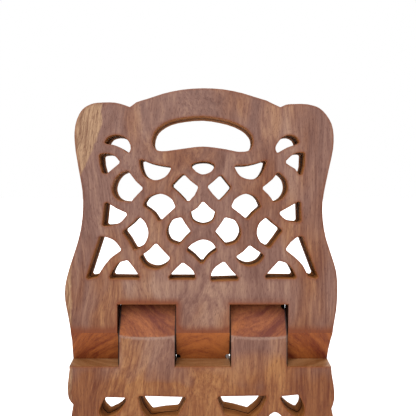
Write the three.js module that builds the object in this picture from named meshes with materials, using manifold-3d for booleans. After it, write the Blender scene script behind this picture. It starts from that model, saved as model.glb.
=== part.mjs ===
// Folding book stand (rehal) sawn from one hardwood board, folded flat and standing on its feet.
//
// The board is split through its thickness into two leaves that never come apart. One leaf holds the front
// of the board above the hinge and the back of it below; the other holds what is left. At the hinge, square
// fingers pass through windows in the other leaf, so the wood itself is the hinge and there is no pin.
//
// Millimetres, +Z up, the decorated front towards -Y. The hinge axis runs along X. Each leaf is modelled
// about the hinge axis and the middle finger's centre, then raised by LOWER_HEIGHT, so that the feet stand
// at Z = 0, and moved along X by OUTLINE_SHIFT, so that the outline is centred.
import * as THREE from "three";
import { mergeVertices } from "three/addons/utils/BufferGeometryUtils.js";
import Module from "manifold-3d";

const wasm = await Module();
wasm.setup();

// ---- Driving dimensions ------------------------------------------------------------------------------
const BOARD_WIDTH = 171.5; // widest point of the shoulders
const UPPER_HEIGHT = 155.5; // hinge axis to the crown above the handle slot
const LOWER_HEIGHT = 149.7; // hinge axis to the feet
const BOARD_THICKNESS = 25.4; // one inch plank before it is split
const SPLIT_KERF = 1.0; // saw cut between the two leaves
const MIDDLE_FINGER_WIDTH = 34.3;
const PASSING_FINGER_WIDTH = 35.7; // the two fingers on either side of the middle one
const FINGER_GAP = 0.35; // side clearance between neighbouring fingers
const OPEN_STOP_DEG = 113.9; // where a leaf's face meets the other leaf's window edge, at the least
const WINDOW_RAKE = 1.8; // how far a window edge slopes from the split to the outer face
const HINGE_CLEARANCE = 0.7; // between a finger's slope and the window edge at the split
const SLOPE_START = 1.7; // where a straight slope leaves the face, past the hinge axis
const CROWN_START = 0.3; // the same at the sides of a crowned slope
const CROWN_RISE = 1.8; // how much further it starts at the middle of the finger
const PILOT_RADIUS = 1.8; // starting holes of the saw cuts, at the finger corners
const PILOT_INSET = 0.9; // from the finger's side to the pilot hole's centre
const PILOT_FLOOR = 11.4; // wood left behind a pilot hole that doesn't come out at the back
const CORNER_RADIUS = 0.9; // inner corners that the saw leaves
const SHARPEST_CORNER = 0.6; // radians: a sharper one is eased no further back than this one
const EASED_SHARE = 1 / 3; // of the way to a corner's neighbour, the furthest that easing may start
const CURVE_TOLERANCE = 0.1; // how far a facet may lie from the drawn curve
const CROWN_STEPS = 8; // facets across a crowned slope
const PILOT_SIDES = 12; // facets round a pilot hole
const CUT_MARGIN = 5; // how far cutting solids run past the board
const WELD_DISTANCE = 1e-4; // points nearer than this are one

// ---- What follows from them --------------------------------------------------------------------------
const halfBoard = BOARD_THICKNESS / 2;
const halfKerf = SPLIT_KERF / 2;
const furthestStart = Math.max(SLOPE_START, CROWN_START + CROWN_RISE);
// A window reaches far enough for the stop, and for its edges to turn past where the slopes leave the face.
const faceReach = Math.max(
  halfBoard * Math.tan(THREE.MathUtils.degToRad(OPEN_STOP_DEG / 2)),
  Math.hypot(halfBoard, furthestStart) + HINGE_CLEARANCE + WINDOW_RAKE,
);
const splitReach = faceReach - WINDOW_RAKE;
const slopeEnd = splitReach - HINGE_CLEARANCE;
const middleEdge = MIDDLE_FINGER_WIDTH / 2;
const passingInner = middleEdge + FINGER_GAP;
const passingOuter = passingInner + PASSING_FINGER_WIDTH;
const sideInner = passingOuter + FINGER_GAP;
const farX = BOARD_WIDTH / 2 + CUT_MARGIN;
const farY = halfBoard + CUT_MARGIN;
const farZ = Math.max(UPPER_HEIGHT, LOWER_HEIGHT) + CUT_MARGIN;

// ---- The template ------------------------------------------------------------------------------------
// The maker's paper template, drawn about the hinge axis as [x, z] for a board of the DRAWN sizes. A curve
// runs smoothly through the points and turns sharply only at those marked K. A changed board stretches it:
// the hinge zone with the windows, and the panels above and below with the board's own heights.
const DRAWN = { width: 171.6, middle: -1.15, upper: 155.5, lower: 149.7, reach: 19.5 };
const OUTLINE_SHIFT = (-DRAWN.middle * BOARD_WIDTH) / DRAWN.width;
const K = true;

const LEFT_SIDE = [
  [-46, 143.7, K], [-49.8, 145.1], [-55, 146.4], [-62, 146.6], [-70.2, 145.6], [-75.7, 142.2], [-79.2, 136.1],
  [-80.8, 128], [-80.1, 116], [-77.9, 103], [-75.8, 91], [-75.5, 80], [-76.8, 67], [-79.9, 55],
  [-83.7, 43.5], [-86.7, 31], [-86.7, 22], [-84.8, 12], [-83.4, 4], [-83.1, -4], [-83.8, -12],
  [-84.2, -18], [-84, -21.5], [-84.7, -27.5], [-85.2, -33.5], [-84.2, -40], [-81.6, -43.4, K],
  [-83.2, -54], [-85.4, -68], [-85.2, -84], [-82.2, -99],
  [-78.8, -112], [-78.2, -117, K], [-82.6, -124.5], [-84.8, -136], [-83.4, -149.7, K],
];
const HALF_ARCH = [
  [-46.5, -149.7, K], [-47.8, -141], [-43.5, -133.5], [-36.5, -131.5, K], [-34, -124.5], [-27, -119.5],
  [-18, -119, K], [-9.5, -117], [-3, -112],
];
const ARCH_POINT = [0, -107, K];
const RIGHT_SIDE = [
  [82.6, -149.7, K], [84, -136], [81.8, -124.5], [77.4, -117, K], [78, -112], [81.4, -99], [84, -84],
  [84.2, -68], [82.8, -55], [81, -46, K], [82.8, -40], [82.4, -31.5], [81.2, -24.5], [80.6, -17.5],
  [80.5, -11], [81.1, -3], [82.2, 5.5], [84, 16], [84.7, 28.5], [84, 40], [80.8, 50.8], [77.5, 61],
  [75.5, 73], [75.4, 84], [77, 94], [79.6, 106], [81.9, 117], [82.3, 126], [81, 133], [77.6, 138.9],
  [73.2, 143.1], [66, 145.4], [58, 145.6], [52.3, 145.2], [48.8, 143.6, K],
];
const CROWN = [
  [44, 145.8], [40, 147.8], [34, 149.6], [25, 152.4], [13, 154.8], [0, 155.5], [-13, 154.6], [-25, 152.1],
  [-35, 148.8], [-42, 146.6], [-44.6, 144.6],
];

const HANDLE_SLOT = [
  [-31.9, 122], [-30.6, 127.4], [-27.5, 131.2], [-21, 134.9], [-12, 136.9], [0, 137.8], [11, 136.3],
  [21, 133.4], [28.3, 129], [31.4, 124.4], [31.4, 119.6], [29, 116.4], [23, 115.5], [14, 117.2],
  [0, 118.8], [-13, 117.4], [-23, 116], [-28.6, 116.4], [-31.4, 119.2],
];

// Pierced work above the hinge, row by row from the top, each row from left to right.
const UPPER_PIERCINGS = [
  [[-62.2, 120.7, K], [-59.6, 124.6], [-55, 126.1], [-50, 125], [-46.5, 121.7], [-45.4, 117.5],
    [-46.7, 114.5, K], [-52, 118.2], [-57, 120]],
  [[46.7, 114.5, K], [45.7, 118], [48, 122.4], [51.6, 125.4], [55.6, 126], [59.2, 124.2],
    [60.7, 120.9, K], [53.3, 118.3]],

  [[-65.3, 113.9, K], [-60.5, 114.5], [-55.6, 112.9], [-51.9, 108.8, K], [-56.5, 105],
    [-60.4, 101.7, K], [-63.2, 102, K], [-64.8, 108]],
  [[51.6, 109, K], [55, 112.5], [59.5, 115], [64.2, 115, K], [63.9, 107], [62.4, 101, K],
    [60.6, 101, K], [58, 104.8], [54.3, 107]],

  [[-39.9, 111.1, K], [-39.2, 105.3], [-36.4, 100], [-30, 97.7], [-24, 99.6], [-21, 103],
    [-19.6, 106, K], [-26.5, 107], [-33.5, 108.6]],
  [[-7.8, 107, K], [-4.5, 108.7], [0, 109.3], [4.5, 108.8], [7.6, 107.2, K], [5.5, 103.4], [0, 101.3],
    [-4.2, 103]],
  [[19.4, 106.9, K], [27, 107], [34, 108.4], [40.3, 110.4, K], [38.9, 105], [35.3, 99.6], [29.5, 98.2],
    [23.2, 100.6]],

  [[-47.3, 103.7, K], [-52.6, 101.4], [-56.4, 96], [-57, 90.5], [-54, 85.6], [-45.6, 83.8, K],
    [-41.2, 88.6], [-37.4, 92.5, K], [-42.2, 97]],
  [[-12.4, 101.8, K], [-16.2, 98.2], [-20.1, 94, K], [-15, 89.5], [-9.7, 83.8, K], [-5.4, 88],
    [-2.8, 93.5, K], [-8, 97.4]],
  [[11.4, 101.2, K], [6.6, 96.9], [2.7, 93.7, K], [6, 89.2], [10.4, 84.6, K], [14, 88.2], [18, 93, K],
    [14, 97.9]],
  [[47.2, 102.9, K], [43.8, 98.2], [37, 92.7, K], [41.2, 88.6], [45, 83.7, K], [50.3, 86.2],
    [53.3, 92], [52, 98.4]],

  [[-61.7, 84.5, K], [-54.5, 79.9], [-47.2, 76.6, K], [-52, 71.2], [-57.5, 69.1], [-63.3, 68.7, K]],
  [[-37.8, 81.8, K], [-34.8, 86.6], [-27, 89.1], [-20.4, 86.4], [-17.2, 80.8, K], [-22, 76.5],
    [-27.6, 71.3, K], [-31.2, 76.9]],
  [[0, 84.6, K], [-3.4, 80.2], [-7.8, 77.5, K], [-6.2, 72.4], [0, 69.8], [6, 72], [8, 77.3, K],
    [3.8, 80.7]],
  [[17.9, 80.9, K], [20.6, 86], [27.3, 89.1], [33.4, 87], [36.8, 81, K], [32.2, 77], [28.3, 72.6, K],
    [23.5, 76.6]],
  [[48, 77.3, K], [54.5, 80.9], [61.5, 85, K], [61.9, 71, K], [55, 71.8], [50.6, 74]],

  [[-40.2, 74.8, K], [-45.2, 69.6], [-50.8, 65.1, K], [-47, 59.8], [-43.2, 53.2, K], [-37.4, 56.8],
    [-34.4, 64], [-36.3, 70.8]],
  [[-13.6, 74.3, K], [-19.2, 72.4], [-22.8, 65.4], [-20.6, 59.2], [-15.2, 56.9, K], [-11.2, 61.4],
    [-7.4, 65, K], [-11, 70]],
  [[14, 74.3, K], [11, 69.7], [7.6, 65, K], [11.4, 60.4], [15, 56.4, K], [21.2, 58.6], [24, 65],
    [20.4, 72]],
  [[40.2, 74.4, K], [35.6, 70.4], [34.1, 64], [36.8, 58.2], [42, 54.8, K], [46, 60], [50.2, 66, K],
    [44.8, 70.2]],

  [[-64.9, 62.4, K], [-61.5, 62], [-55.6, 59.4], [-51.1, 53.7, K], [-58.5, 48.3], [-64, 41],
    [-66.6, 36.4, K], [-73.8, 35, K]],
  [[-29.5, 58.2, K], [-33.8, 53.6], [-40, 49.2, K], [-36.4, 43.6], [-29.8, 41.4], [-23.6, 44],
    [-20.7, 48.8, K], [-25.4, 53.7]],
  [[-10.6, 53.6, K], [-6.6, 57.6], [0, 60.2], [5.6, 58.4], [9, 53.6, K], [3.4, 49.5], [-0.5, 44.5, K],
    [-5, 49.2]],
  [[20.6, 49.3, K], [24.2, 45.2], [29.6, 43.6], [35.4, 45.6], [38.8, 50.2, K], [33.2, 54],
    [29.4, 56.8, K], [25.6, 52.8]],
  [[52, 54, K], [55.4, 58.6], [60.4, 62.2], [62.8, 62.3, K], [73, 35.2, K], [66.4, 37, K], [63, 44],
    [58, 49.2]],

  [[-47.4, 47.3, K], [-53, 45.5], [-57.2, 40.4], [-59.4, 35.5, K], [-38.8, 35.2, K], [-43.6, 42.6]],
  [[-12.7, 46, K], [-17, 42], [-22.8, 35.2, K], [-4.3, 35.2, K], [-6.4, 40.8]],
  [[13.4, 46.6, K], [8, 43], [5.4, 39], [5, 34, K], [24, 34.7, K], [18.2, 40.6]],
  [[47.8, 46.8, K], [44, 42.8], [37.8, 35.8, K], [59.2, 35.6, K], [56.4, 41.6], [52.6, 45.4]],
];

// Below the hinge. The top rows were cut freely by hand; the rest are cut in pairs.
const LOWER_PIERCINGS = [
  [[-61.3, -38.8, K], [-64.2, -44.2], [-65.2, -49], [-61.3, -53.4, K], [-54.2, -49.6], [-49.6, -44],
    [-48, -39.2, K]],
  [[-41, -38, K], [-38.7, -46.6], [-33.4, -53.9, K], [-25, -52.5], [-16.4, -51.8, K], [-13.2, -46],
    [-9.8, -38.8, K]],
  [[8.7, -38.4, K], [10.8, -44.4], [13.5, -49.7, K], [21, -51.2], [29.5, -53.6, K], [36.4, -47.4],
    [40.9, -37.8, K]],
  [[48.3, -38.4, K], [51.4, -44.8], [56, -49.6], [61.5, -52.7, K], [63.9, -48.6], [63.2, -43],
    [60.2, -37.2, K]],
  [[-54, -58.6, K], [-51.2, -53.6], [-45.6, -51.2], [-40, -55], [-37.6, -59.2, K], [-41.8, -63.2],
    [-46, -68.6, K], [-50, -63.4]],
  [[37.6, -58, K], [39.8, -52.6], [45.3, -48.2], [51, -52.2], [54, -58.2, K], [50.3, -62.8],
    [46, -68.2, K], [41.8, -62.8]],
  [[-0.4, -54.5, K], [-4, -59.2], [-8.6, -62.6, K], [-6.4, -68.6], [0, -71.6], [6, -68.8],
    [8.2, -62.8, K], [3.6, -59.4]],
  [[-7.8, -97.4, K], [-5.6, -90.8], [0, -87], [5.6, -90.8], [7.8, -97.4, K]],
];
const PAIRED_PIERCINGS = [
  [[-31.5, -60.8, K], [-29, -66], [-23.5, -69], [-17.4, -64.8], [-15.5, -59.8, K], [-23.5, -60.8]],
  [[-69, -58, K], [-57.6, -65, K], [-62.6, -71], [-69.4, -73, K]],
  [[-14, -70, K], [-17.4, -74.6], [-21, -78.4, K], [-17.6, -83.2], [-14.2, -88, K], [-10.4, -83.8],
    [-6.8, -79.2, K], [-10.2, -74.4]],
  [[-34.4, -70.2, K], [-40.4, -72.8], [-43.2, -79], [-40, -86], [-34.2, -88.4, K], [-31, -84],
    [-27.2, -79, K], [-30.6, -74.8]],
  [[-53.6, -70.4, K], [-57.8, -75.6], [-62.4, -79.6, K], [-58.2, -84], [-54, -89.4, K], [-51.8, -84],
    [-49.6, -78.8, K], [-51.6, -74.6]],
  [[-70.4, -80.6, K], [-65, -85.2], [-60.4, -90.6, K], [-62, -96], [-66.8, -99.4, K]],
  [[-24, -86.4, K], [-28.2, -91.2], [-31.2, -97.6, K], [-16.4, -97.4, K], [-19.8, -91.4]],
  [[-45, -89.6, K], [-49.2, -93.4], [-53, -98.8, K], [-37.8, -97.8, K], [-40.6, -93]],
];

const mirrored = (points) => points.map(([x, z, corner]) => [-x, z, corner]).reverse();
const OUTLINE = [...LEFT_SIDE, ...HALF_ARCH, ARCH_POINT, ...mirrored(HALF_ARCH), ...RIGHT_SIDE, ...CROWN];

// ---- From template to board --------------------------------------------------------------------------
// The height on the board of a height on the template: one scale inside the hinge zone, one outside it.
function boardHeight(z) {
  const size = Math.abs(z);
  if (size <= DRAWN.reach) return (z * faceReach) / DRAWN.reach;
  const [drawn, real] = z > 0 ? [DRAWN.upper, UPPER_HEIGHT] : [DRAWN.lower, LOWER_HEIGHT];
  const share = (size - DRAWN.reach) / (drawn - DRAWN.reach);
  return Math.sign(z) * (faceReach + share * (real - faceReach));
}

function toBoard([x, z, corner]) {
  const at = new THREE.Vector3((x * BOARD_WIDTH) / DRAWN.width, boardHeight(z), 0);
  return { at, corner: Boolean(corner) };
}

// Points along a curve between two of its parameters, close enough together for CURVE_TOLERANCE.
function facetsBetween(curve, from, to) {
  const middle = (from + to) / 2;
  const start = curve.getPoint(from);
  const end = curve.getPoint(to);
  const nearest = new THREE.Line3(start, end).closestPointToPoint(
    curve.getPoint(middle), true, new THREE.Vector3());
  if (nearest.distanceTo(curve.getPoint(middle)) < CURVE_TOLERANCE) return [start];
  return [...facetsBetween(curve, from, middle), ...facetsBetween(curve, middle, to)];
}

// A smooth stretch through its points, without its last one. Two points make a straight stretch.
function stretch(points, closed = false) {
  if (points.length === 2) return [points[0]];
  const curve = new THREE.CatmullRomCurve3(points, closed, "centripetal");
  const spans = closed ? points.length : points.length - 1;
  return Array.from({ length: spans }, (_, i) => facetsBetween(curve, i / spans, (i + 1) / spans)).flat();
}

// The two points that replace a sharp corner, as far back along its sides as a radius of CORNER_RADIUS
// would start, within EASED_SHARE of the way to either neighbour.
function easedCorner(before, corner, after) {
  const back = before.clone().sub(corner);
  const ahead = after.clone().sub(corner);
  const setback = CORNER_RADIUS / Math.tan(Math.max(back.angleTo(ahead), SHARPEST_CORNER) / 2);
  return [back, ahead].map((side) =>
    side.clone().setLength(Math.min(setback, side.length() * EASED_SHARE)).add(corner));
}

// A closed template curve as points on the board: smooth stretches that meet at eased corners.
function boardLoop(template, eased) {
  const points = template.map(toBoard);
  const first = points.findIndex((p) => p.corner);
  if (first < 0) return stretch(points.map((p) => p.at), true);
  const ring = [...points.slice(first), ...points.slice(0, first + 1)];
  const corners = ring.flatMap((p, i) => (p.corner ? [i] : []));
  const loop = [];
  const cornerAt = [];
  corners.slice(1).forEach((end, i) => {
    cornerAt.push(loop.length);
    loop.push(...stretch(ring.slice(corners[i], end + 1).map((p) => p.at)));
  });
  if (!eased) return loop;
  return loop.flatMap((point, i) =>
    cornerAt.includes(i)
      ? easedCorner(loop.at(i - 1), point, loop[(i + 1) % loop.length])
      : [point]);
}

const flat = (points) => points.map((p) => new THREE.Vector2(p.x, p.y));

// ---- Solids ------------------------------------------------------------------------------------------
// A closed geometry as a solid that can be cut.
function solid(geometry) {
  const bare = geometry.clone();
  bare.deleteAttribute("normal");
  bare.deleteAttribute("uv");
  const merged = mergeVertices(bare, WELD_DISTANCE);
  const mesh = new wasm.Mesh({
    numProp: 3,
    vertProperties: new Float32Array(merged.attributes.position.array),
    triVerts: new Uint32Array(merged.index.array),
  });
  return new wasm.Manifold(mesh);
}

function geometryOf(body) {
  const mesh = body.getMesh();
  const geometry = new THREE.BufferGeometry();
  geometry.setAttribute("position", new THREE.BufferAttribute(mesh.vertProperties, 3));
  geometry.setIndex(new THREE.BufferAttribute(mesh.triVerts, 1));
  const faceted = geometry.toNonIndexed();
  faceted.computeVertexNormals();
  return faceted;
}

// The whole board, pierced and sawn to its outline but not yet split.
function piercedBoard() {
  const shape = new THREE.Shape(flat(boardLoop(OUTLINE, false)));
  const pairs = PAIRED_PIERCINGS.flatMap((points) => [points, mirrored(points)]);
  const openings = [HANDLE_SLOT, ...UPPER_PIERCINGS, ...LOWER_PIERCINGS, ...pairs];
  shape.holes = openings.map((points) => new THREE.Path(flat(boardLoop(points, true))));
  const plate = new THREE.ExtrudeGeometry(shape, { depth: BOARD_THICKNESS, bevelEnabled: false });
  return solid(plate.rotateX(Math.PI / 2).translate(0, halfBoard, 0));
}

// A closed solid through YZ sections along X: sectionAt(x) gives the same number of [y, z] at each station.
function sweepAlongX(stations, sectionAt) {
  const sections = stations.map((x) => sectionAt(x).map(([y, z]) => new THREE.Vector2(y, z)));
  if (THREE.ShapeUtils.isClockWise(sections[0])) sections.forEach((ring) => ring.reverse());
  const sides = sections[0].length;
  const positions = sections.flatMap((ring, i) => ring.flatMap((p) => [stations[i], p.x, p.y]));
  const index = [];
  for (let i = 1; i < stations.length; i += 1) {
    for (let j = 0; j < sides; j += 1) {
      const next = (j + 1) % sides;
      const [a, b] = [(i - 1) * sides + j, (i - 1) * sides + next];
      const [c, d] = [i * sides + next, i * sides + j];
      index.push(a, b, c, a, c, d);
    }
  }
  const lastRing = (stations.length - 1) * sides;
  for (const [a, b, c] of THREE.ShapeUtils.triangulateShape(sections[0], [])) index.push(c, b, a);
  for (const [a, b, c] of THREE.ShapeUtils.triangulateShape(sections.at(-1), [])) {
    index.push(lastRing + a, lastRing + b, lastRing + c);
  }
  const geometry = new THREE.BufferGeometry();
  geometry.setAttribute("position", new THREE.Float32BufferAttribute(positions, 3));
  geometry.setIndex(index);
  return solid(geometry);
}

// A leaf is described for the one whose upper half lies at the front (side = -1). The other leaf is the
// same with front and back exchanged (side = +1). A section given for side -1 is mirrored in Y for it.
const onSide = (side, section) => section.map(([y, z]) => [-side * y, z]);
const turned = (section) => section.map(([y, z]) => [-y, -z]);

// The room behind the upper half and above the fingers' back slope. start is how far past the hinge axis
// the slope leaves the back face. Turned half round, it is the room in front of the lower half.
function reliefSection(side, start) {
  const rise = (slopeEnd + start) / (halfBoard - halfKerf);
  const heightAt = (y) => slopeEnd - rise * (y - halfKerf);
  return onSide(side, [
    [-halfKerf, farZ], [-halfKerf, heightAt(-halfKerf)], [farY, heightAt(farY)], [farY, farZ],
  ]);
}

// The room for the other leaf where its finger passes through: all that isn't this leaf's own two halves,
// whose ends slope from the split out to the face.
function windowSection(side) {
  const endAtFar = splitReach + (WINDOW_RAKE * (farY - halfKerf)) / (halfBoard - halfKerf);
  const upper = [[-farY, endAtFar], [-halfKerf, splitReach], [-halfKerf, farZ], [farY, farZ]];
  return onSide(side, [...upper, ...turned(upper)]);
}

// How far past the axis a crowned slope starts: least at a finger's sides, most at its middle.
function crownedStart(x) {
  const middle = (passingInner + passingOuter) / 2;
  const across = (Math.abs(x) - middle) / (PASSING_FINGER_WIDTH / 2);
  return CROWN_START + CROWN_RISE * Math.max(0, 1 - across * across);
}

function crownedStations() {
  const across = Array.from({ length: CROWN_STEPS + 1 },
    (_, i) => passingInner + (PASSING_FINGER_WIDTH * i) / CROWN_STEPS);
  return [-farX, ...across.map((x) => -x).reverse(), ...across, farX];
}

// A starting hole drilled from the front, either right through or until PILOT_FLOOR is left.
function pilotHole([x, z, through]) {
  const end = through ? farY : halfBoard - PILOT_FLOOR;
  const drill = new THREE.CylinderGeometry(PILOT_RADIUS, PILOT_RADIUS, farY + end, PILOT_SIDES);
  return solid(drill.translate(x, (end - farY) / 2, z));
}

// One leaf, about the hinge axis. windows are the X ranges that the other leaf's fingers pass through, and
// pilots the pilot holes as [x, z, through].
function leafSolid({ side, stations, startAt, windows, pilots }) {
  const behindUpper = sweepAlongX(stations, (x) => reliefSection(side, startAt(x)));
  const beforeLower = sweepAlongX(stations, (x) => turned(reliefSection(side, startAt(x))));
  const cuts = windows.map((range) => sweepAlongX(range, () => windowSection(side)));
  const holes = pilots.map(pilotHole);
  return [behindUpper, beforeLower, ...cuts, ...holes].reduce(
    (body, cut) => body.subtract(cut), piercedBoard());
}

// The leaf with the middle and the two side fingers: front of the board above, back of it below.
const pilotDepth = slopeEnd - PILOT_INSET;
const threeFingerLeaf = leafSolid({
  side: -1,
  stations: [-farX, farX],
  startAt: () => SLOPE_START,
  windows: [
    [-sideInner, -middleEdge],
    [middleEdge, sideInner],
  ],
  pilots: [
    [PILOT_INSET - middleEdge, -pilotDepth, false],
    [middleEdge - PILOT_INSET, -pilotDepth, true],
  ],
});

// The leaf with the two passing fingers: back of the board above, front of it below.
const twoFingerLeaf = leafSolid({
  side: 1,
  stations: crownedStations(),
  startAt: crownedStart,
  windows: [
    [-farX, -passingOuter],
    [-passingInner, passingInner],
    [passingOuter, farX],
  ],
  pilots: [[passingOuter - PILOT_INSET, pilotDepth, false]],
});

// ---- The stand ---------------------------------------------------------------------------------------
function leafMesh(name, body, color) {
  const material = new THREE.MeshStandardMaterial({ color, roughness: 0.5, metalness: 0 });
  const mesh = new THREE.Mesh(geometryOf(body), material);
  mesh.name = name;
  mesh.position.set(OUTLINE_SHIFT, 0, LOWER_HEIGHT);
  return mesh;
}

const quranStand = new THREE.Group();
quranStand.name = "quran_stand";
quranStand.add(leafMesh("three_finger_leaf", threeFingerLeaf, "#8e6658"));
quranStand.add(leafMesh("two_finger_leaf", twoFingerLeaf, "#9a6848"));

export default quranStand;
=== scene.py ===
"""A folding book stand carved from one rosewood board, folded flat and standing on its feet.

The two leaves are split from the same board and hooked together by wooden fingers, so they share one
solid grain: the growth rings run across the split and come out as straight streaks on the faces, as arcs
on the sloped fingers and as thin layers on the sawn walls. Lengths are in metres in the scene, and in
millimetres from the hinge inside the wood's own pattern.
"""

import logging
import math
from dataclasses import dataclass, field
from enum import Enum
from typing import Sequence, Union

import bmesh
import bpy
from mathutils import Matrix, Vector
from mathutils.kdtree import KDTree


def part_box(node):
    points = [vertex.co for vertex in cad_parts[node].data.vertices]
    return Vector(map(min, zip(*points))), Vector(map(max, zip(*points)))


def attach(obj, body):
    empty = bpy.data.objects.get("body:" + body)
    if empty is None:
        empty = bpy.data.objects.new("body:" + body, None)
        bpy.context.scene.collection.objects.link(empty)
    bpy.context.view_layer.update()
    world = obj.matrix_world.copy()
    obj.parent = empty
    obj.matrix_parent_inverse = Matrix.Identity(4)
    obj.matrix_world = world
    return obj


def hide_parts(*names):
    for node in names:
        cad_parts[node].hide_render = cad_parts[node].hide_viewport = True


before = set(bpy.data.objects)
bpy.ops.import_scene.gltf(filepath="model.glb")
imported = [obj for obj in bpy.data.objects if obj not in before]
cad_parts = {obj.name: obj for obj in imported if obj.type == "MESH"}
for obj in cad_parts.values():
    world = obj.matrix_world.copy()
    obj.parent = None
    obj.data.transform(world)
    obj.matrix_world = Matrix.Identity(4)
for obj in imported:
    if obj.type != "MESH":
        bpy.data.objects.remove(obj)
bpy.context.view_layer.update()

log = logging.getLogger("book_stand")

MM = 0.001
HINGE_HEIGHT = 149.7 * MM  # the axis that the leaves turn about
FINGERS_MIDDLE = 1.15 * MM  # x of the middle finger's centre
HALF_BOARD = 12.7 * MM
WINDOW_REACH = 19.5 * MM  # from the axis to a window's edge on the outer face
LIGHT_LEVEL = 2.7  # how much brighter than its own colour the studio shows a pale matt face
SHEEN = 0.012  # what the satin surface adds by reflection

FACING = 0.99  # how much of its normal a face shows along an axis when it faces that way
LEANING = 0.95  # the same for a raked face
TILTED = 0.3  # and for a face that only leans that way
TURNED = 0.1  # and for the rounded corner of a sawn wall
SQUARE = 0.999  # and for the side of a finger

RIM = "rim"  # the mark that holds how far a point of a flat face lies from its edge, in millimetres

Socket = bpy.types.NodeSocket
Value = Union[Socket, float]
Place = tuple[Socket, Socket, Socket]
Colour = tuple[float, float, float]


def tone(red: int, green: int, blue: int) -> Colour:
    """Turn a colour as it is seen in the studio into the wood's own.

    Args:
        red, green, blue: the colour as seen, each from 0 to 255.

    Returns:
        The colour that a shader mixes, in linear light.
    """
    seen = [((part / 255 + 0.055) / 1.055) ** 2.4 for part in (red, green, blue)]
    return tuple(max(0.0, part / LIGHT_LEVEL - SHEEN) for part in seen)


class Worked(Enum):
    """How a stretch of the surface was worked, and where painted shade stands for the gaps.

    Each but the split is written on the mesh as a number that the wood's finish reads.
    """

    SLOPE = "slope"  # the fingers' slopes, cut with a chisel and oiled
    WINDOW_EDGE = "window_edge"  # the ends of the windows
    SAWN = "sawn"  # the fretsaw's walls: the outline and the piercings
    SPLIT = "split"  # the ripped faces inside
    ARRIS = "arris"  # the sanded corners
    GAP_SHADE = "gap_shade"  # painted shade: black where the gaps between the fingers and on either side of the split lie in shadow


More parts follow.
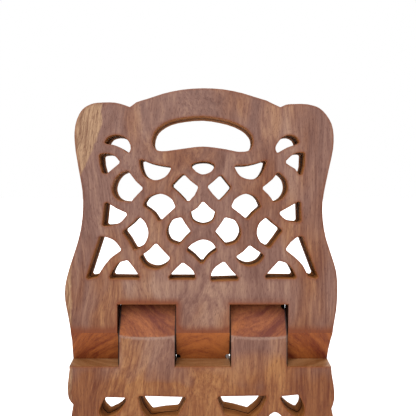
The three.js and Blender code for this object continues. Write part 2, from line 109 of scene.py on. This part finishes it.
class Graph:
    """Builds a material's nodes, so that a pattern reads as a sum."""

    def __init__(self, material: bpy.types.Material) -> None:
        """Empty the material's node tree and keep it."""
        material.use_nodes = True
        self.tree = material.node_tree
        self.tree.nodes.clear()

    def node(self, kind: str, **settings: object) -> bpy.types.Node:
        """Add a node of that kind, with those settings."""
        made = self.tree.nodes.new(kind)
        for name, value in settings.items():
            setattr(made, name, value)
        return made

    def feed(self, socket: Socket, value: object) -> None:
        """Link a socket to another, or set its own value."""
        if isinstance(value, bpy.types.NodeSocket):
            self.tree.links.new(value, socket)
        elif socket.type == "RGBA":
            socket.default_value = (*value, 1.0)
        else:
            socket.default_value = value

    def math(self, operation: str, first: Value, second: Value = 0.0, third: Value = 0.0) -> Socket:
        """Work out one sum.

        Args:
            operation: the Math node's operation.
            first, second, third: its numbers, or sockets that carry them.

        Returns:
            The socket that carries the answer.
        """
        made = self.node("ShaderNodeMath", operation=operation)
        for socket, value in zip(made.inputs, (first, second, third)):
            self.feed(socket, value)
        return made.outputs[0]

    def add(self, *parts: Value) -> Socket:
        """Add numbers together."""
        total = parts[0]
        for part in parts[1:]:
            total = self.math("ADD", total, part)
        return total

    def times(self, *parts: Value) -> Socket:
        """Multiply numbers together."""
        product = parts[0]
        for part in parts[1:]:
            product = self.math("MULTIPLY", product, part)
        return product

    def fade(self, value: Value, none_at: float, all_at: float) -> Socket:
        """Rise smoothly from 0 where value is none_at to 1 where it is all_at."""
        made = self.node("ShaderNodeMapRange", interpolation_type="SMOOTHSTEP")
        swapped = none_at > all_at
        low, high = (all_at, none_at) if swapped else (none_at, all_at)
        for name, number in (("Value", value), ("From Min", low), ("From Max", high)):
            self.feed(made.inputs[name], number)
        self.feed(made.inputs["To Min"], 1.0 if swapped else 0.0)
        self.feed(made.inputs["To Max"], 0.0 if swapped else 1.0)
        return made.outputs["Result"]

    def point(self, x: Value, y: Value, z: Value) -> Socket:
        """Put three numbers together as a vector."""
        made = self.node("ShaderNodeCombineXYZ")
        for socket, value in zip(made.inputs, (x, y, z)):
            self.feed(socket, value)
        return made.outputs[0]

    def noise(self, at: Sequence[Value], size: Sequence[float], detail: float = 3.0,
              roughness: float = 0.55) -> Socket:
        """Soft noise.

        Args:
            at: the three coordinates that it is read at.
            size: how far apart its swells are along each.
            detail: how many finer layers lie on the broad one.
            roughness: how strong those are.

        Returns:
            The socket that carries it, from 0 to 1 around a half.
        """
        made = self.node("ShaderNodeTexNoise", noise_dimensions="3D", normalize=True)
        scaled = self.point(*(self.math("MULTIPLY", along, 1 / swell) for along, swell in zip(at, size)))
        settings = {"Vector": scaled, "Scale": 1.0, "Detail": detail, "Roughness": roughness}
        for name, value in settings.items():
            self.feed(made.inputs[name], value)
        return made.outputs["Fac"]

    def blend(self, share: Value, first: object, second: object, how: str = "MIX") -> Socket:
        """Mix two colours.

        Args:
            share: how much of the second shows, from 0 to 1.
            first, second: colours, or sockets that carry them.
            how: the mix node's blend type.

        Returns:
            The socket that carries the mixture.
        """
        made = self.node("ShaderNodeMix", data_type="RGBA", blend_type=how, clamp_factor=True)
        colours = [s for s in made.inputs if s.type == "RGBA"]
        self.feed(made.inputs[0], share)
        self.feed(colours[0], first)
        self.feed(colours[1], second)
        return [s for s in made.outputs if s.type == "RGBA"][0]

    def ramp(self, value: Socket, stops: Sequence[tuple[float, Colour]]) -> Socket:
        """Colour a value by a ramp of (position, colour) stops."""
        made = self.node("ShaderNodeValToRGB")
        marks = made.color_ramp.elements
        while len(marks) < len(stops):
            marks.new(0.5)
        for mark, (position, colour) in zip(marks, stops):
            mark.position = position
            mark.color = (*colour, 1.0)
        self.feed(made.inputs["Fac"], value)
        return made.outputs["Color"]

    def unsigned(self, value: Value) -> Socket:
        """A number without its sign."""
        return self.math("ABSOLUTE", value)

    def swing(self, noise: Socket, reach: float) -> Socket:
        """Turn noise around a half into a swing around nothing, reach from end to end."""
        return self.times(self.add(noise, -0.5), reach)

    def mark(self, name: str) -> Socket:
        """Read a number that is written on the mesh."""
        return self.node("ShaderNodeAttribute", attribute_name=name).outputs["Fac"]


@dataclass(frozen=True)
class Glow:
    """A soft patch of the figure, warmer and lighter than the rest, in millimetres from the hinge."""

    x: float
    z: float
    half_width: float
    half_height: float
    warmth: float
    lift: float


@dataclass(frozen=True)
class Grain:
    """The wood's inner patterns, each a socket that carries 0 to 1."""

    rings: Socket
    fibres: Socket
    pores: Socket
    figure: Socket


@dataclass(frozen=True)
class Rosewood:
    """Oiled rosewood with a strip of sapwood down one side.

    The pith lies behind the board. Distance from it makes the growth rings, and height stretches every
    mark along the grain. All lengths are in millimetres from the middle of the hinge.
    """

    pith: tuple[float, float] = (4.0, 92.0)
    lean: float = -0.03  # how far the trunk leans to the side for each millimetre of height
    sway_size: tuple[float, float, float] = (60, 60, 90)
    sway_reach: float = 24.0
    waver_size: tuple[float, float, float] = (24, 24, 44)
    waver_reach: float = 5.0
    ring_size: tuple[float, float, float] = (5.5, 60, 180)
    fibre_size: tuple[float, float, float] = (1.1, 3.0, 24)
    pore_size: tuple[float, float, float] = (0.5, 0.5, 3)
    figure_size: tuple[float, float, float] = (14, 40, 70)
    streaks: tuple[float, float, float] = (0.34, 0.5, 0.68)  # where dark, plain and pale wood lie
    strokes: tuple[float, float] = (0.36, 0.62)  # the same for dark and pale on a chiselled surface
    sapwood_edge: float = -84.5  # x of its inner edge at the middle of the board's height
    sapwood_at_crown: float = 21.0  # how much further in it comes there
    sapwood_at_waist: float = 2.0
    sapwood_slant: float = -1.4  # how much further out it lies for each millimetre into the board
    ripple_size: tuple[float, float, float] = (9, 40, 40)
    ripple_reach: float = 4.0
    swell_size: tuple[float, float, float] = (16, 16, 24)
    saw_size: tuple[float, float, float] = (1.2, 7, 1.2)  # of the marks that the fretsaw leaves
    rim_width: float = 1.7  # how far oil has soaked in from an edge
    hinge_height: tuple[float, float] = (16.0, 21.0)  # where the hinge ends and the plain board begins
    hinge_width: tuple[float, float] = (54.0, 60.0)
    window_middle: float = 34.0
    window_sides: tuple[float, float] = (16.0, 23.0)  # from the window's middle to where its stain ends
    window_stain: float = 5.5  # how far up its stain reaches
    slope_line: tuple[float, float, float] = (0.5, 1.7, 8.0)  # where a slope's stain starts, peaks, ends
    worn_line: tuple[float, float] = (0.3, 1.5)  # how far in from a passing slope hands have rubbed the wood pale, with a painted highlight there
    finger_sides: tuple[float, float] = (17.3, 53.0)  # from the middle finger's centre to the saw cuts
    seam: tuple[float, float] = (0.3, 0.75)  # how far the painted shade of a gap reaches from a saw cut
    # the faces' own brown, with a grey-purple cast that is partly painted sheen of the satin finish
    dark: Colour = tone(120, 84, 74)
    heart: Colour = tone(150, 111, 98)
    pale: Colour = tone(184, 144, 122)
    amber_dark: Colour = tone(118, 68, 44)
    amber: Colour = tone(156, 101, 68)
    amber_pale: Colour = tone(196, 140, 92)
    sapwood_dark: Colour = tone(148, 106, 78)
    sapwood: Colour = tone(200, 160, 124)
    stain: Colour = tone(138, 76, 34)
    arris: Colour = tone(158, 92, 50)
    slope_dark: Colour = tone(126, 62, 32)
    slope_pale: Colour = tone(196, 116, 68)
    strip_dark: Colour = tone(150, 98, 66)
    strip_pale: Colour = tone(202, 148, 106)
    wall_dark: Colour = tone(140, 84, 48)
    wall_pale: Colour = tone(222, 150, 96)
    # painted shade for the gaps between the fingers and beside the split
    gap_shade: Colour = tone(48, 28, 16)
    pore: Colour = tone(96, 56, 42)
    # the pale grey line below the passing slopes: worn wood with a painted highlight of the rounded edge
    wear_and_painted_light: Colour = tone(188, 152, 136)
    glows: tuple[Glow, ...] = (
        Glow(34, -20, 22, 11, 0.6, 0.07),
        Glow(4, -44, 16, 16, 0.7, 0.05),
        Glow(-28, -36, 22, 8, 0.6, 0.02),
        Glow(-70, -36, 18, 18, 0.5, -0.03),
        Glow(74, -36, 16, 18, 0.3, -0.03),
        Glow(42, 134, 8, 18, 0.3, 0.09),
        Glow(-44, 132, 6, 18, 0.35, 0.0),
        Glow(26, 146, 5, 14, 0.35, 0.04),
        Glow(0, 30, 62, 7, -0.1, 0.06),
        Glow(-72, 80, 12, 40, -0.6, -0.01),
    )

    def material(self, name: str, shine: float) -> bpy.types.Material:
        """Build the wood with one of its two finishes.

        Args:
            name: what the material is called.
            shine: how much light its surface reflects before it reaches the wood.

        Returns:
            The material.
        """
        material = bpy.data.materials.new(name)
        graph = Graph(material)
        centred = graph.node("ShaderNodeMapping")
        graph.feed(centred.inputs["Vector"], graph.node("ShaderNodeTexCoord").outputs["Object"])
        centred.inputs["Scale"].default_value = (1 / MM,) * 3
        centred.inputs["Location"].default_value = (-FINGERS_MIDDLE / MM, 0.0, -HINGE_HEIGHT / MM)
        axes = graph.node("ShaderNodeSeparateXYZ")
        graph.feed(axes.inputs[0], centred.outputs[0])
        place = tuple(axes.outputs)

        grain = self.grain(graph, place)
        colour = self.face(graph, grain, place)
        colour = self.edge_of_sapwood(graph, colour, grain, place)
        colour = self.stained(graph, colour, grain, place)
        colour = self.cut_surfaces(graph, colour, grain, place)
        colour = self.handled(graph, colour, place)
        colour = graph.blend(graph.times(grain.pores, 0.4), colour, self.pore)

        surface = graph.node("ShaderNodeBsdfPrincipled")
        graph.feed(surface.inputs["Base Color"], colour)
        graph.feed(surface.inputs["Roughness"], self.roughness(graph, grain))
        surface.inputs["IOR"].default_value = 1.45
        surface.inputs["Specular IOR Level"].default_value = shine
        graph.feed(surface.inputs["Normal"], self.relief(graph, grain, place))
        graph.feed(graph.node("ShaderNodeOutputMaterial").inputs["Surface"], surface.outputs["BSDF"])
        return material

    def grain(self, graph: Graph, place: Place) -> Grain:
        """The wood's inner pattern: rings round a pith that wanders with height, fibres and pores.

        Args:
            graph: the material's nodes.
            place: x, y and z from the middle of the hinge.

        Returns:
            The patterns, each from 0 to 1.
        """
        x, y, z = place
        sway = graph.add(graph.swing(graph.noise(place, self.sway_size, detail=1.5), self.sway_reach),
                         graph.swing(graph.noise(place, self.waver_size, detail=1.5), self.waver_reach))
        across = graph.add(x, -self.pith[0], graph.times(z, self.lean), sway)
        depth = graph.add(y, -self.pith[1], sway)
        radius = graph.math("SQRT", graph.add(graph.times(across, across), graph.times(depth, depth)))
        from_pith = (radius, x, z)
        rings = graph.noise(from_pith, self.ring_size, detail=4.0, roughness=0.66)
        fibres = graph.noise(from_pith, self.fibre_size, detail=3.5, roughness=0.7)
        pores = graph.fade(graph.noise((across, depth, z), self.pore_size, detail=1.0), 0.56, 0.72)
        figure = graph.noise(from_pith, self.figure_size, detail=2.0)
        return Grain(rings, fibres, pores, figure)

    def face(self, graph: Graph, grain: Grain, place: Place) -> Socket:
        """The oiled outer faces: brown with a purple cast that is partly painted sheen, warmer in bands and
        towards the feet, and painted darker towards the sides.
        """
        x, _, z = place
        patches = [(glow, self.patch(graph, glow, x, z)) for glow in self.glows]
        lift = [graph.times(patch, glow.lift) for glow, patch in patches]
        # painted shade: the faces darker towards their left and right ends
        painted_shade_at_sides = graph.times(graph.fade(graph.unsigned(x), 48, 80), -0.04)
        streak = graph.add(graph.times(grain.rings, 0.45), graph.times(grain.fibres, 0.55), painted_shade_at_sides,
                           *lift)
        # this grey-purple ramp carries part of the satin sheen as painted colour
        cool = graph.ramp(streak, tuple(zip(self.streaks, (self.dark, self.heart, self.pale))))
        warm = graph.ramp(streak, tuple(zip(self.streaks, (self.amber_dark, self.amber, self.amber_pale))))
        low_down = graph.times(graph.fade(z, -16, -46), 0.85)
        at_the_hinge = graph.times(graph.fade(z, 40, 0), 0.1)
        banded = graph.times(graph.fade(grain.figure, 0.43, 0.7), 0.75)
        warmth = graph.add(low_down, at_the_hinge, banded,
                           *(graph.times(patch, glow.warmth) for glow, patch in patches))
        return graph.blend(graph.math("MAXIMUM", graph.math("MINIMUM", warmth, 1.0), 0.0), cool, warm)

    def patch(self, graph: Graph, glow: Glow, x: Socket, z: Socket) -> Socket:
        """How much of one soft patch shows, from 0 to 1."""
        across = graph.times(graph.add(x, -glow.x), 1 / glow.half_width)
        along = graph.times(graph.add(z, -glow.z), 1 / glow.half_height)
        off = graph.add(graph.times(across, across), graph.times(along, along))
        return graph.fade(off, 1.4, 0.0)

    def edge_of_sapwood(self, graph: Graph, colour: Socket, grain: Grain, place: Place) -> Socket:
        """Pale sapwood outside one growth ring, at the left of the front."""
        x, y, z = place
        ripple = graph.swing(graph.noise((z, x, y), self.ripple_size, detail=2.0), self.ripple_reach)
        towards_crown = graph.times(graph.fade(z, 76, 138), self.sapwood_at_crown)
        towards_waist = graph.times(graph.fade(z, 62, 40), self.sapwood_at_waist)
        deeper = graph.times(graph.add(y, HALF_BOARD / MM), self.sapwood_slant)
        edge = graph.add(towards_crown, self.sapwood_edge, ripple, towards_waist, deeper)
        beyond = graph.math("SUBTRACT", edge, x)
        sapwood = graph.blend(graph.fade(grain.fibres, 0.38, 0.6), self.sapwood_dark, self.sapwood)
        return graph.blend(graph.times(graph.fade(beyond, -0.6, 1.0), 0.9), colour, sapwood)

    def stained(self, graph: Graph, colour: Socket, grain: Grain, place: Place) -> Socket:
        """Oil and dust rubbed into the face beside each edge, most of all above the windows and slopes."""
        x, _, z = place
        uneven = graph.add(graph.times(grain.figure, 0.8), 0.2)
        clear_of_hinge = graph.math("MAXIMUM", graph.fade(graph.unsigned(z), *self.hinge_height),
                                    graph.fade(graph.unsigned(x), *self.hinge_width))
        rim = graph.times(graph.fade(graph.mark(RIM), self.rim_width, 0.0), 0.65, uneven,
                          graph.add(graph.times(clear_of_hinge, 0.8), 0.2))
        above = graph.add(graph.unsigned(z), -WINDOW_REACH / MM)
        beside = graph.unsigned(graph.add(graph.unsigned(x), -self.window_middle))
        near, far = self.window_sides
        stronger_left = graph.add(graph.times(graph.fade(x, 20, -20), 0.6), 0.5)
        window = graph.times(graph.fade(above, self.window_stain, 0.0), graph.fade(beside, far, near),
                             graph.math("GREATER_THAN", z, 0.0), graph.add(uneven, 0.4), stronger_left)
        start, peak, end = self.slope_line
        line = graph.times(graph.fade(z, end, peak), graph.fade(z, start, peak), graph.add(uneven, 0.35))
        share = graph.math("MINIMUM", graph.add(rim, window, line), 0.9)
        off_slope = graph.math("SUBTRACT", 1.0, graph.mark(Worked.SLOPE.value))
        return graph.blend(graph.times(share, off_slope), colour, self.stain)

    def handled(self, graph: Graph, colour: Socket, place: Place) -> Socket:
        """Wood rubbed pale below the passing slopes, with a painted highlight there, and painted shade along
        the passing fingers' sides, where the gaps lie in shadow.
        """
        x, _, z = place
        # worn wood and a painted highlight: a pale grey line just below the passing slopes' rounded edge
        below_slopes = graph.times(graph.fade(z, 0.6, 0.0), graph.fade(z, -4.6, -3.6))
        most, none = self.worn_line
        wear_and_painted_light = graph.times(graph.fade(graph.mark(RIM), none, most), below_slopes, 0.45)
        colour = graph.blend(wear_and_painted_light, colour, self.wear_and_painted_light)
        # painted shade: a dark line along each saw cut beside the passing fingers, where the gap lies in
        # shadow
        near, far = self.seam
        seam_shadows = [graph.fade(graph.unsigned(graph.add(graph.unsigned(x), -side)), far, near)
                 for side in self.finger_sides]
        beside_fingers = graph.fade(graph.unsigned(z), 18.6, 17.8)
        return graph.blend(graph.times(graph.math("MAXIMUM", *seam_shadows), 0.85, beside_fingers), colour,
                           self.gap_shade)

    def cut_surfaces(self, graph: Graph, colour: Socket, grain: Grain, place: Place) -> Socket:
        """The worked surfaces, each with the colour that its tool and the oil left, with painted shade deep
        in the walls and in the gaps.
        """
        strokes = graph.add(graph.times(grain.rings, 0.7), graph.times(grain.fibres, 0.3))
        dark, pale = self.strokes
        middle = graph.times(graph.fade(graph.unsigned(place[0]), 30, 12), 0.07)
        duller = graph.times(graph.math("SUBTRACT", 1.0, graph.mark(Worked.SLOPE.value)), -0.26)
        slope = graph.ramp(graph.add(strokes, middle, duller),
                           ((dark, self.slope_dark), (pale, self.slope_pale)))
        strip = graph.ramp(strokes, ((dark, self.strip_dark), (pale, self.strip_pale)))
        # painted light: the sawn walls lighter towards the outer faces and darker deep inside the board,
        # where shade falls
        wear_and_painted_light = graph.times(graph.fade(graph.unsigned(place[1]), 3, 12), 0.16)
        wall = graph.ramp(graph.add(strokes, wear_and_painted_light), ((dark, self.wall_dark), (0.7, self.wall_pale)))
        for how, share, dressed in (
            (Worked.ARRIS, 0.75, self.arris),
            (Worked.SLOPE, 1.0, slope),
            (Worked.WINDOW_EDGE, 1.0, strip),
            (Worked.SAWN, 1.0, wall),
            (Worked.GAP_SHADE, 1.0, self.gap_shade),
        ):
            colour = graph.blend(graph.times(graph.mark(how.value), share), colour, dressed)
        return colour

    def roughness(self, graph: Graph, grain: Grain) -> Socket:
        """Satin on the faces, rougher where the saw and the chisel went."""
        satin = graph.add(graph.times(grain.fibres, 0.25), 0.34)
        return graph.add(satin, graph.times(graph.mark(Worked.SAWN.value), 0.4),
                         graph.times(graph.mark(Worked.SLOPE.value), 0.2))

    def relief(self, graph: Graph, grain: Grain, place: Place) -> Socket:
        """Open pores and raised fibres, the saw's marks on the walls, and a slight hand-sanded swell."""
        swell = graph.times(graph.noise(place, self.swell_size, detail=1.0), 0.35)
        saw = graph.times(graph.noise(place, self.saw_size, detail=1.0), 0.12,
                          graph.mark(Worked.SAWN.value))
        bump = graph.node("ShaderNodeBump")
        bump.inputs["Strength"].default_value = 1.0
        bump.inputs["Distance"].default_value = MM
        height = graph.add(swell, saw, graph.times(grain.fibres, 0.06), graph.times(grain.pores, -0.05))
        graph.feed(bump.inputs["Height"], height)
        return bump.outputs["Normal"]


def only(obj: bpy.types.Object) -> None:
    """Select that object alone and make it active."""
    bpy.ops.object.select_all(action="DESELECT")
    obj.select_set(True)
    bpy.context.view_layer.objects.active = obj


@dataclass
class Leaf:
    """One leaf of the stand: its half of the board above the hinge, the other half below, and its fingers."""

    node: str
    body: str
    slope_depth: float  # how deep the oil has coloured its slopes, from 0 to 1
    slope_wear: float = 0.0  # how far hands have rubbed the colour off its slopes' corners
    outer_arris: float = 0.4 * MM
    inner_arris: float = 0.3 * MM
    hinge_arris: float = 0.08 * MM
    swelling: float = 0.05 * MM
    outermost_finger: float = 60 * MM  # where the windows end to either side
    gap_shade_strength: float = 0.8  # how dark the painted shade makes the walls between the fingers
    sharp: float = math.radians(60)  # corners sharper than this are sanded
    crease: float = math.radians(32)  # corners sharper than this show as an edge
    weld: float = 0.002 * MM  # points of the blank nearer than this are one
    flatness: float = math.radians(0.2)  # faces that lie within this are made one
    hinge_reach: float = WINDOW_REACH + 3 * MM  # how far from the axis a finger's corners may lie
    window_rake: float = 2.2 * MM  # how far a window's raked edge strays from its reach
    patch: float = 3.0 * MM  # how far apart the lines lie that divide the flat faces
    first_line: float = 0.43  # how much of a patch is missing before the first of those lines
    widest_rim: float = 6.0 * MM  # how far in from an edge its distance is measured
    piece: bpy.types.Object = field(init=False)

    def build(self, oiled: bpy.types.Material, matt: bpy.types.Material) -> bpy.types.Object:
        """Carve the leaf, mark how each surface was worked, and dress it.

        Args:
            oiled: the wood as it is where it has been rubbed with oil.
            matt: the wood as it is where only the saw has been.

        Returns:
            The finished leaf, riding on its body.
        """
        self.copy_blank()
        self.fit_fingers()
        self.weigh_corners()
        self.sand_corners()
        self.divide_faces()
        self.smooth()
        self.piece.data.materials.clear()
        self.piece.data.materials.append(oiled)
        self.piece.data.materials.append(matt)
        self.mark_surfaces()
        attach(self.piece, self.body)
        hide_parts(self.node)
        log.info("%s: %d faces", self.piece.name, len(self.piece.data.polygons))
        return self.piece

    def copy_blank(self) -> None:
        """Take a copy of the leaf's blank with its flat faces whole."""
        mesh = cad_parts[self.node].data.copy()
        self.piece = bpy.data.objects.new(f"carved_{self.node}", mesh)
        bpy.context.scene.collection.objects.link(self.piece)
        only(self.piece)
        if mesh.has_custom_normals:
            bpy.ops.mesh.customdata_custom_splitnormals_clear()
        bpy.ops.object.mode_set(mode="EDIT")
        bpy.ops.mesh.select_all(action="SELECT")
        bpy.ops.mesh.remove_doubles(threshold=self.weld)
        bpy.ops.mesh.dissolve_limited(angle_limit=self.flatness)
        bpy.ops.object.mode_set(mode="OBJECT")

    def fit_fingers(self) -> None:
        """Let the wood swell sideways in the windows, so that the fingers sit close together."""
        low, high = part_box(self.node)
        points = self.piece.data.vertices
        for face in self.piece.data.polygons:
            height = max(abs(points[i].co.z - HINGE_HEIGHT) for i in face.vertices)
            inside = low.x + WINDOW_REACH < face.center.x < high.x - WINDOW_REACH
            if abs(face.normal.x) > SQUARE and height < self.hinge_reach and inside:
                for i in face.vertices:
                    points[i].co.x = face.center.x + math.copysign(self.swelling, face.normal.x)

    def weigh_corners(self) -> None:
        """Give each sharp edge its share of the widest corner that sanding leaves."""
        shape = bmesh.new()
        shape.from_mesh(self.piece.data)
        weights = shape.edges.layers.float.new("bevel_weight_edge")
        for edge in shape.edges:
            if len(edge.link_faces) == 2 and edge.calc_face_angle() > self.sharp:
                outside = all(abs(v.co.y) > HALF_BOARD - 0.1 * MM for v in edge.verts)
                hinged = all(abs(v.co.z - HINGE_HEIGHT) < self.hinge_reach for v in edge.verts)
                arris = self.outer_arris if outside else self.hinge_arris if hinged else self.inner_arris
                edge[weights] = arris / self.outer_arris
        shape.to_mesh(self.piece.data)
        shape.free()

    def sand_corners(self) -> None:
        """Round the corners."""
        only(self.piece)
        bevel = self.piece.modifiers.new("sanding", "BEVEL")
        bevel.width = self.outer_arris
        bevel.segments = 2
        bevel.limit_method = "WEIGHT"
        bevel.use_clamp_overlap = False
        bevel.loop_slide = False
        bpy.ops.object.modifier_apply(modifier=bevel.name)

    def divide_faces(self) -> None:
        """Cut the flat faces into small patches, so that each can hold how far it lies from an edge."""
        only(self.piece)
        low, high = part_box(self.node)
        bpy.ops.object.mode_set(mode="EDIT")
        for axis in (0, 2):
            normal = Vector((float(axis == 0), 0.0, float(axis == 2)))
            for step in range(1, int((high[axis] - low[axis]) / self.patch) + 1):
                bpy.ops.mesh.select_all(action="SELECT")
                line = low[axis] + (step - self.first_line) * self.patch
                bpy.ops.mesh.bisect(plane_co=normal * line, plane_no=normal)
        bpy.ops.object.mode_set(mode="OBJECT")

    def smooth(self) -> None:
        """Shade the curves smooth, and let the flat faces keep their own light."""
        only(self.piece)
        bpy.ops.object.shade_smooth_by_angle(angle=self.crease)
        light = self.piece.modifiers.new("flat_faces", "WEIGHTED_NORMAL")
        light.keep_sharp = True
        bpy.ops.object.modifier_apply(modifier=light.name)

    def mark_surfaces(self) -> None:
        """Write on the mesh how each face was worked and how far each point is from a flat face's edge."""
        mesh = self.piece.data
        marks = {how: [0.0] * len(mesh.polygons) for how in Worked if how is not Worked.SPLIT}
        flat = [False] * len(mesh.polygons)
        for face in mesh.polygons:
            how, share = self.worked(face.center, face.normal)
            flat[face.index] = how in (None, Worked.SPLIT)
            face.material_index = int(how in (Worked.SAWN, Worked.GAP_SHADE, Worked.SPLIT))
            if how in marks:
                marks[how][face.index] = share
        for how, values in marks.items():
            mesh.attributes.new(how.value, "FLOAT", "FACE").data.foreach_set("value", values)
        mesh.attributes.new(RIM, "FLOAT", "POINT").data.foreach_set("value", self.distances(flat))

    def distances(self, flat: Sequence[bool]) -> list[float]:
        """How far each point lies from the edge of the flat face that it is on.

        Args:
            flat: for each face, whether it is part of a flat face of the leaf.

        Returns:
            The distances in millimetres, no more than widest_rim.
        """
        mesh = self.piece.data
        sides = {}
        for face in mesh.polygons:
            for key in face.edge_keys:
                sides.setdefault(key, []).append(flat[face.index])
        borders = [[mesh.vertices[i].co for i in key]
                   for key, two in sides.items() if any(two) and not all(two)]
        parts = 3  # each border edge is measured to this many of its points
        tree = KDTree(parts * len(borders))
        for index, (start, end) in enumerate(borders):
            for part in range(parts):
                tree.insert(start.lerp(end, part / parts), parts * index + part)
        tree.balance()
        return [min(tree.find(point.co)[2], self.widest_rim) / MM for point in mesh.vertices]

    def worked(self, centre: Vector, normal: Vector) -> tuple[Union[Worked, None], float]:
        """How the face at that place with that normal was worked, and how strongly it shows.

        Args:
            centre: the middle of the face.
            normal: the way it points.

        Returns:
            The kind of surface, or None for an outer face, and a share from 0 to 1.
        """
        height = abs(centre.z - HINGE_HEIGHT)
        deep = HALF_BOARD - abs(centre.y)
        # faces in the gaps between the fingers and beside the split get painted shade
        between = height < WINDOW_REACH and abs(centre.x) < self.outermost_finger
        if abs(normal.y) > FACING:
            if between and MM < deep < HALF_BOARD - MM:
                return Worked.GAP_SHADE, 1.0
            return (Worked.SPLIT, 1.0) if deep > MM else (None, 0.0)
        sloped = abs(normal.x) < TILTED and TILTED < abs(normal.y) < 0.97 and abs(normal.z) > 0.25
        if height < WINDOW_REACH and sloped and deep > self.outer_arris:
            return Worked.SLOPE, self.slope_depth
        if abs(height - WINDOW_REACH) < self.window_rake and abs(normal.z) > LEANING:
            return Worked.WINDOW_EDGE, 1.0
        if deep < self.outer_arris and abs(normal.y) > TURNED:
            if between and abs(normal.x) > TILTED:
                return Worked.GAP_SHADE, self.gap_shade_strength
            worn = self.slope_wear if between and height < 3 * MM else 0.0
            return Worked.ARRIS, 1.0 - worn
        if HALF_BOARD - deep < MM and abs(normal.y) > TURNED:
            return Worked.GAP_SHADE, 1.0
        if between:
            return Worked.GAP_SHADE, self.gap_shade_strength
        return Worked.SAWN, 1.0


@dataclass
class Studio:
    """A pale floor in a bright room, with a large soft lamp in front and a weaker one behind."""

    floor_size: float = 40.0
    room_light: float = 1.0
    key_light: float = 4.6
    back_light: float = 1.4
    softness: float = math.radians(50)  # how wide a lamp looks from the stand
    floor_colour: Colour = (0.93, 0.93, 0.93)

    def build(self) -> None:
        """Lay the floor and light the room."""
        bpy.ops.object.select_all(action="DESELECT")
        bpy.ops.mesh.primitive_plane_add(size=self.floor_size, location=(0, 0, -0.5 * MM))
        floor = bpy.context.object
        floor.name = "studio_floor"
        material = bpy.data.materials.new("pale_floor")
        material.use_nodes = True
        surface = material.node_tree.nodes["Principled BSDF"]
        surface.inputs["Base Color"].default_value = (*self.floor_colour, 1.0)
        surface.inputs["Roughness"].default_value = 0.9
        surface.inputs["Specular IOR Level"].default_value = 0.0
        floor.data.materials.append(material)
        world = bpy.data.worlds.new("bright_room")
        world.use_nodes = True
        background = world.node_tree.nodes["Background"]
        background.inputs["Color"].default_value = (1.0, 1.0, 1.0, 1.0)
        background.inputs["Strength"].default_value = self.room_light
        bpy.context.scene.world = world
        bpy.context.scene.view_settings.view_transform = "Standard"
        self.lamp("key", Vector((-0.35, -1.5, 1.0)), self.key_light)
        self.lamp("back", Vector((0.6, 1.2, 1.3)), self.back_light)

    def lamp(self, name: str, towards: Vector, strength: float) -> None:
        """Hang a wide soft lamp in that direction from the stand."""
        light = bpy.data.lights.new(name, "SUN")
        light.angle = self.softness
        light.energy = strength
        lamp = bpy.data.objects.new(name, light)
        lamp.location = towards
        lamp.rotation_euler = towards.to_track_quat("Z", "Y").to_euler()
        bpy.context.scene.collection.objects.link(lamp)


@dataclass
class Camera:
    """A camera that looks level and square at the front, a little above the middle of the upper leaf."""

    place: tuple[float, float, float] = (0.00175, -0.396, 0.2398)
    lens: float = 52.8
    sensor: float = 36.0
    shift: tuple[float, float] = (0.010, -0.038)

    def build(self) -> None:
        """Set the camera up and make it the scene's."""
        data = bpy.data.cameras.new("front_camera")
        data.lens = self.lens
        data.sensor_width = self.sensor
        data.shift_x, data.shift_y = self.shift
        camera = bpy.data.objects.new("front_camera", data)
        camera.location = self.place
        camera.rotation_euler = (math.radians(90), 0, 0)
        bpy.context.scene.collection.objects.link(camera)
        bpy.context.scene.camera = camera


def main() -> None:
    """Build the stand's two leaves, the room and the camera."""
    logging.basicConfig(level=logging.INFO, format="%(name)s: %(message)s")
    wood = Rosewood()
    oiled = wood.material("oiled_rosewood", shine=0.25)
    matt = wood.material("sawn_rosewood", shine=0.02)
    Leaf("three_finger_leaf", "front_upper_leaf", slope_depth=1.0).build(oiled, matt)
    Leaf("two_finger_leaf", "back_upper_leaf", slope_depth=0.8, slope_wear=0.8).build(oiled, matt)
    Studio().build()
    Camera().build()


if __name__ == "__main__":
    main()
